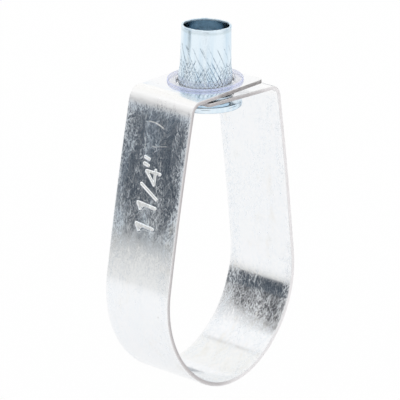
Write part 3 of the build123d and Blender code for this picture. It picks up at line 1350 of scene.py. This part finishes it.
    def material(self, effects: Effects) -> bpy.types.Material:
        """Builds the material. Its patterns follow the strip's own length and width.

        Args:
            effects: The shared effects.

        Returns:
            The material.
        """
        material, shader, principled = new_material("galvanised_strip")
        place = shader.attribute(Mark.STRIP, "Vector")
        cut, stamp, worked = (shader.attribute(mark) for mark in (Mark.CUT, Mark.STAMP, Mark.WORKED))
        clouds = shader.effect(effects.mottle, place, self.clouds)["Mask"]
        grain = shader.effect(effects.mottle, place, self.grain)
        stains = shader.effect(effects.mottle, place, self.stains)["Mask"]
        specks = shader.effect(effects.specks, place, self.specks)["Mask"]
        haze = self.hazy(shader, effects, place)
        thick = shader.times(shader.fade(clouds, self.hair_cover), shader.attribute(Mark.WOOL))
        hair = shader.times(self.hair_layers(shader, effects, place), thick)
        colour = shader.mix(hair, self.mirror, self.matt)
        # Painted reflection: the haze mask tints the left leg bluish.
        colour = shader.mix(haze, colour, self.film)
        colour = shader.mix(shader.times(stains, self.stain_cover), colour, self.stain)
        colour = shader.mix(shader.times(specks, self.speck_cover), colour, self.speck)
        colour = shader.mix(worked, colour, self.polished)
        colour = shader.mix(stamp, colour, shader.mix(grain["Mask"], self.struck_dull, self.struck))
        colour = shader.mix(cut, colour, self.shear(shader, effects, place, grain["Height"]))
        shader.join(colour, principled.inputs["Base Color"])
        rough = shader.times(shader.math("ADD", clouds, grain["Mask"]), self.cloud_roughness)
        rough = shader.math("ADD", rough, self.mirror_roughness)
        for mask, share in (
            (worked, self.worked_roughness), (haze, self.haze_roughness), (hair, self.hair_roughness),
        ):
            rough = shader.math("ADD", rough, shader.times(mask, share))
        rough = shader.most(rough, shader.times(stamp, self.struck_roughness))
        rough = shader.most(rough, shader.times(cut, self.sheared_roughness))
        shader.join(rough, principled.inputs["Roughness"])
        principled.inputs["Metallic"].default_value = 1.0
        torn = shader.add("ShaderNodeBump", {
            "Strength": 1.0, "Distance": self.torn_depth, "Height": shader.times(grain["Height"], cut)})
        wave = shader.add("ShaderNodeBump", {
            "Strength": 1.0, "Distance": self.hair_depth, "Height": hair, "Normal": torn.outputs[0]})
        shader.join(wave.outputs[0], principled.inputs["Normal"])
        return material


@dataclass(frozen=True)
class BrightZincFinish:
    """Bright blue zinc plating on turned steel, with painted shade in the knurl's grooves, in the bore and
    under the rim, and painted reflections in upright bands.
    """

    plating: Colour = (0.82, 0.92, 0.99)
    # Painted reflection: the darker colour of the upright bands, standing in for darker surroundings mirrored
    # in the nut.
    shade: Colour = (0.62, 0.77, 0.89)
    # Painted shadow: the darker ring just under the rim.
    rim_shade: Colour = (0.52, 0.62, 0.66)
    # Painted shade: the dark colour in the knurl's grooves.
    groove: Colour = (0.14, 0.20, 0.27)
    # Painted shade: the darker colour inside the nut's mouth and bore.
    inside: Colour = (0.45, 0.55, 0.62)
    bands: Pattern = Pattern(25.0, 330.0, 0.42, 0.62, 8.0)
    band_cover: float = 0.8
    grit: Pattern = Pattern(1500.0, 2600.0, 0.45, 0.60, 9.0)
    dirt_cover: Fade = Fade(0.0, 1.0, 0.35, 1.2)
    inside_cover: Fade = Fade(0.3, 0.7, 1.0, 0.72)
    rim_shade_foot: Fade = Fade(0.0062, 0.0067)
    rim_shade_head: Fade = Fade(0.0069, 0.0072, 1.0, 0.0)
    roughness: float = 0.12
    grit_roughness: float = 0.06
    rim_roughness: Fade = Fade(0.0069, 0.0073, 0.0, 0.45)
    grit_depth: float = 0.000003

    def material(self, effects: Effects) -> bpy.types.Material:
        """Builds the material. Its soft bands, a painted reflection of darker surroundings, stand upright
        round the nut.

        Args:
            effects: The shared effects.

        Returns:
            The material.
        """
        material, shader, principled = new_material("bright_zinc_plating")
        place = shader.add("ShaderNodeTexCoord").outputs["Object"]
        height = shader.axes(place)[2]
        upright = shader.turned(place, pi / 2, "Y")
        bands = shader.effect(effects.mottle, upright, self.bands)
        grit = shader.effect(effects.mottle, upright, self.grit)
        gritty = shader.fade(grit["Mask"], self.dirt_cover)
        groove_shade = shader.math("MULTIPLY", shader.attribute(Mark.GROOVE), gritty, clamp=True)
        under_rim = shader.times(
            shader.fade(height, self.rim_shade_foot), shader.fade(height, self.rim_shade_head))
        bore_shade = shader.times(shader.attribute(Mark.INSIDE), shader.fade(bands["Height"], self.inside_cover))
        # Painted reflection: darker upright bands.
        colour = shader.mix(shader.times(bands["Mask"], self.band_cover), self.plating, self.shade)
        # Painted shadow under the rim.
        colour = shader.mix(shader.times(under_rim, bands["Height"]), colour, self.rim_shade)
        # Painted shade in the knurl's grooves, broken up by the grit.
        colour = shader.mix(groove_shade, colour, self.groove)
        # Painted shade inside the nut.
        colour = shader.mix(bore_shade, colour, self.inside)
        shader.join(colour, principled.inputs["Base Color"])
        rough = shader.math("ADD", shader.times(grit["Mask"], self.grit_roughness), self.roughness)
        rough = shader.most(rough, shader.fade(height, self.rim_roughness))
        shader.join(rough, principled.inputs["Roughness"])
        principled.inputs["Metallic"].default_value = 1.0
        bump = shader.add("ShaderNodeBump", {
            "Strength": 1.0, "Distance": self.grit_depth, "Height": grit["Height"]})
        shader.join(bump.outputs[0], principled.inputs["Normal"])
        return material


@dataclass(frozen=True)
class ClearPlasticFinish:
    """Clear plastic with a lilac tint, strongest at its rim, a painted dark shade line in the crease at the
    foot of its neck, and a few scuffs.
    """

    tint: Colour = (0.93, 0.94, 1.0)
    rim: Colour = (0.60, 0.66, 1.0)
    # Painted shade: a dark line in the crease where the neck meets the disc.
    crease: Colour = (0.16, 0.22, 0.34)
    rim_start: float = 0.0086
    rim_end: float = 0.0092
    crease_radius: float = 0.00712
    crease_fade: Fade = Fade(0.00003, 0.00014, 1.0, 0.0)
    neck_edge: float = 0.0002
    neck_cover: float = 0.10
    disc_cover: float = 0.20
    rim_cover: float = 0.50
    crease_cover: float = 0.45
    scuffs: Pattern = Pattern(130.0, 900.0, 0.66, 0.72, 12.0)
    dust: Specks = Specks(700.0, 0.14, 0.1)
    roughness: float = 0.10
    scuff_roughness: float = 0.25
    index: float = 1.46

    def material(self, effects: Effects) -> bpy.types.Material:
        """Builds the material. The tint follows the distance from the swivel axis.

        Args:
            effects: The shared effects.

        Returns:
            The material.
        """
        material, shader, principled = new_material("clear_lilac_plastic")
        place = shader.add("ShaderNodeTexCoord").outputs["Object"]
        flat = shader.add("ShaderNodeVectorMath", {0: place, 1: (1.0, 1.0, 0.0)}, operation="MULTIPLY")
        spread = shader.add("ShaderNodeVectorMath", {0: flat.outputs[0]}, operation="LENGTH").outputs["Value"]
        # Painted shade: a thin dark ring at the crease round the foot of the neck.
        off_crease = shader.math("ABSOLUTE", shader.math("SUBTRACT", spread, self.crease_radius))
        crease = shader.fade(off_crease, self.crease_fade)
        colour = shader.mix(shader.fade(spread, Fade(self.rim_start, self.rim_end)), self.tint, self.rim)
        shader.join(shader.mix(crease, colour, self.crease), principled.inputs["Base Color"])
        disc = Fade(self.crease_radius - self.neck_edge, self.crease_radius, self.neck_cover, self.disc_cover)
        rim = Fade(self.rim_start, self.rim_end, 0.0, self.rim_cover)
        cover = shader.most(shader.fade(spread, disc), shader.fade(spread, rim))
        cover = shader.most(cover, shader.times(crease, self.crease_cover))
        shader.join(cover, principled.inputs["Alpha"])
        scuffs = shader.effect(effects.hairlines, place, self.scuffs)["Mask"]
        dust = shader.effect(effects.specks, place, self.dust)["Mask"]
        scuffed = shader.times(shader.most(scuffs, dust), self.scuff_roughness)
        rough = shader.math("ADD", scuffed, self.roughness)
        shader.join(rough, principled.inputs["Roughness"])
        principled.inputs["IOR"].default_value = self.index
        return material


@dataclass(frozen=True)
class Card:
    """A standing card that only reflections see, placed as seen from the ring.

    Its corners are given as distance to the right of its heading and height above its foot, and
    its colour goes from the paler to the darker one over a distance inwards from its first edge,
    which joins its last corner to its first.
    """

    name: str
    heading: float
    distance: float
    corners: tuple[tuple[float, float], ...]
    pale: Colour
    dark: Colour
    fade: float


@dataclass
class Studio:
    """White floor and sky, cards for the bright metal to mirror, and the camera."""

    azimuth: float = radians(47.17)
    elevation: float = radians(17.70)
    roll: float = 0.0213374
    distance: float = 954.6
    focal_pixels: float = 3897.4
    frame_pixels: float = 400.0
    sensor_width: float = 36.0
    clip: tuple[float, float] = (0.05, 20.0)
    aim_across: float = -0.644
    aim_up: float = 41.53
    # The floor has a painted shadow: it is greyer in a spot that lies in the direction of the dark card,
    # where that card would shade it
    floor_gap: float = 24.0
    floor_size: float = 6000.0
    floor_white: Colour = (0.98, 0.98, 0.98)
    floor_grey: Colour = (0.76, 0.76, 0.74)
    spot_aside: Fade = Fade(0.025, 0.09, 1.0, 0.0)
    spot_ahead: Fade = Fade(0.15, 0.60)
    white_to_camera: float = 0.85
    # The cards that the camera's view needs
    card_foot: float = -1.0
    low_card: Card = Card(
        "low_card", radians(138.6), 364.0,
        ((-70.0, 83.0), (-70.0, 0.0), (8.0, 2.0), (20.0, 14.0), (60.0, 30.0), (180.0, 30.0), (180.0, 83.0)),
        (0.09, 0.11, 0.135), (0.07, 0.085, 0.105), 60.0,
    )
    dark_card: Card = Card(
        "dark_card", radians(138.6), 365.0,
        ((-18.0, 60.0), (22.0, 60.0), (25.0, 121.0), (34.0, 168.0), (46.0, 212.0), (60.0, 264.0),
         (76.0, 302.0), (102.0, 350.0), (48.0, 320.0), (14.0, 240.0), (-6.0, 185.0), (-17.0, 125.0)),
        (0.095, 0.10, 0.11), (0.095, 0.10, 0.11), 28.0,
    )
    grey_card: Card = Card(
        "grey_card", radians(75.0), 365.0,
        ((-162.0, 640.0), (420.0, 640.0), (420.0, 250.0), (-162.0, 250.0)),
        (0.50, 0.49, 0.48), (0.965, 0.96, 0.94), 34.0,
    )
    # The cards that give the metal tone from other sides: each is repeated at several headings
    low_tone: Card = Card(
        "low_tone", 0.0, 366.0, ((-110.0, 120.0), (-110.0, 22.0), (110.0, 22.0), (110.0, 120.0)),
        (0.55, 0.57, 0.59), (0.20, 0.22, 0.25), 110.0,
    )
    low_tone_headings: tuple[float, ...] = (42.0, 222.0, 318.0)
    high_tone: Card = Card(
        "high_tone", 0.0, 367.0, ((-80.0, 300.0), (-80.0, 40.0), (80.0, 40.0), (80.0, 300.0)),
        (0.95, 0.95, 0.95), (0.35, 0.37, 0.39), 300.0,
    )
    high_tone_headings: tuple[float, ...] = (0.0, 180.0)

    def cards(self) -> list[Card]:
        """All the cards, with a tone at each of its headings.

        Returns:
            The cards in the order in which they are stood up.
        """
        tones = (self.low_tone, self.low_tone_headings), (self.high_tone, self.high_tone_headings)
        return [self.low_card, self.dark_card, self.grey_card] + [
            replace(card, name=f"{card.name}_{heading:.0f}", heading=radians(heading))
            for card, headings in tones
            for heading in headings
        ]

    def camera(self) -> None:
        """Places the camera: back along its azimuth and elevation from the aim, rolled a little."""
        a, e = self.azimuth, self.elevation
        back = Vector((-sin(a) * cos(e), -cos(a) * cos(e), sin(e)))
        right = Vector((cos(a), -sin(a), 0.0))
        up = back.cross(right)
        across = cos(self.roll) * right + sin(self.roll) * up
        over = cos(self.roll) * up - sin(self.roll) * right
        aim = self.aim_across * right + self.aim_up * up + Vector((0, 0, mount_height("pipe_seat")))
        lens = bpy.data.cameras.new("view")
        lens.lens = self.focal_pixels * self.sensor_width / self.frame_pixels
        lens.sensor_width = self.sensor_width
        lens.clip_start, lens.clip_end = self.clip
        view = bpy.data.objects.new("view", lens)
        turned = Matrix((across, over, back)).transposed().to_4x4()
        view.matrix_world = Matrix.Translation((aim + self.distance * back) * MM) @ turned
        bpy.context.scene.collection.objects.link(view)
        bpy.context.scene.camera = view

    def sheet(self, name: str, corners: Array) -> Piece:
        """A flat stage piece.

        Args:
            name: Name of the piece.
            corners: One line of x, y and z for each corner, in millimetres.

        Returns:
            The piece.
        """
        mesh = bpy.data.meshes.new(name)
        mesh.from_pydata((corners * MM).tolist(), [], [tuple(range(len(corners)))])
        piece = bpy.data.objects.new(name, mesh)
        bpy.context.scene.collection.objects.link(piece)
        return piece

    def floor(self) -> None:
        """Lays the white floor a little below where the ring hangs lowest, with its painted shadow of the
        dark card.
        """
        height = cad_box[0].z / MM - self.floor_gap
        half = self.floor_size / 2
        corners = np.array([(-half, -half), (half, -half), (half, half), (-half, half)])
        piece = self.sheet("floor", np.column_stack([corners, np.full(4, height)]))
        material, shader, principled = new_material("white_floor")
        place = shader.add("ShaderNodeTexCoord").outputs["Object"]
        # Painted shadow: the floor is greyer in a spot where the dark card would shade it.
        ahead, aside, _ = shader.axes(shader.turned(place, -self.dark_card.heading, "Z"))
        beside = shader.fade(shader.math("ABSOLUTE", aside), self.spot_aside)
        card_shadow = shader.times(beside, shader.fade(ahead, self.spot_ahead))
        colour = shader.mix(card_shadow, self.floor_white, self.floor_grey)
        shader.join(colour, principled.inputs["Base Color"])
        principled.inputs["Roughness"].default_value = 1.0
        principled.inputs["Specular IOR Level"].default_value = 0.0
        ray = shader.add("ShaderNodeLightPath").outputs["Is Camera Ray"]
        glow = shader.add("ShaderNodeEmission", {"Color": (1, 1, 1, 1), "Strength": 1.0})
        mixed = shader.add("ShaderNodeMixShader", {
            0: shader.times(ray, self.white_to_camera), 1: principled.outputs[0], 2: glow.outputs[0]})
        output = next(n for n in shader.tree.nodes if n.type == "OUTPUT_MATERIAL")
        shader.join(mixed.outputs[0], output.inputs["Surface"])
        piece.data.materials.append(material)

    def stand(self, card: Card) -> None:
        """Stands a card up and gives it its colours.

        The distance inwards, stored as the first of its UV coordinates, is the cross product of a
        corner's offset from the first corner with the direction of the edge that ends there.

        Args:
            card: The card.
        """
        out = np.array([cos(card.heading), sin(card.heading), 0.0])
        right = np.array([out[1], -out[0], 0.0])
        flat = np.array(card.corners)
        foot = out * card.distance + [0, 0, mount_height("pipe_seat") + self.card_foot]
        corners = foot + flat[:, :1] * right + flat[:, 1:] * [0, 0, 1]
        piece = self.sheet(card.name, corners)
        piece.visible_camera = False
        piece.visible_diffuse = False
        piece.visible_shadow = False
        run = (flat[0] - flat[-1]) / np.linalg.norm(flat[0] - flat[-1])
        offset = flat - flat[0]
        inward = np.abs(offset[:, 0] * run[1] - offset[:, 1] * run[0]) / card.fade
        layer = piece.data.uv_layers.new(name="card")
        layer.data.foreach_set("uv", np.column_stack([inward, flat[:, 1] / card.fade]).ravel())
        material, shader, principled = new_material(card.name)
        place = shader.add("ShaderNodeUVMap", uv_map="card").outputs[0]
        share = shader.fade(shader.axes(place)[0], Fade(0.0, 1.0))
        shader.join(shader.mix(share, card.pale, card.dark), principled.inputs["Emission Color"])
        principled.inputs["Emission Strength"].default_value = 1.0
        principled.inputs["Base Color"].default_value = (0, 0, 0, 1)
        principled.inputs["Specular IOR Level"].default_value = 0.0
        piece.data.materials.append(material)

    def sky(self) -> None:
        """Lights everything evenly with a white sky."""
        world = bpy.data.worlds.new("white_sky")
        world.use_nodes = True
        background = world.node_tree.nodes["Background"]
        background.inputs["Color"].default_value = (1, 1, 1, 1)
        background.inputs["Strength"].default_value = 1.0
        bpy.context.scene.world = world
        bpy.context.scene.view_settings.view_transform = "Standard"

    def build(self) -> None:
        """Sets the whole stage up."""
        self.sky()
        self.floor()
        cards = self.cards()
        for card in cards:
            self.stand(card)
        self.camera()
        log.info("studio: sky, floor, %d cards and camera", len(cards))


def dress(piece: Piece, material: bpy.types.Material) -> None:
    """Gives a piece its material."""
    piece.data.materials.append(material)
    log.info("%s wears %s", piece.name, material.name)


def main() -> None:
    """Builds the hanger's pieces and the studio, in order."""
    logging.basicConfig(level=logging.INFO, format="%(name)s: %(message)s")
    effects = Effects(mottle_effect(), hairline_effect(), speck_effect())
    strap = StrapRing()
    dress(strap.build(), GalvanisedFinish().material(effects))
    dress(SwivelNut().build(), BrightZincFinish().material(effects))
    dress(RetainingWasher().build(strap), ClearPlasticFinish().material(effects))
    Studio().build()


if __name__ == "__main__":
    main()
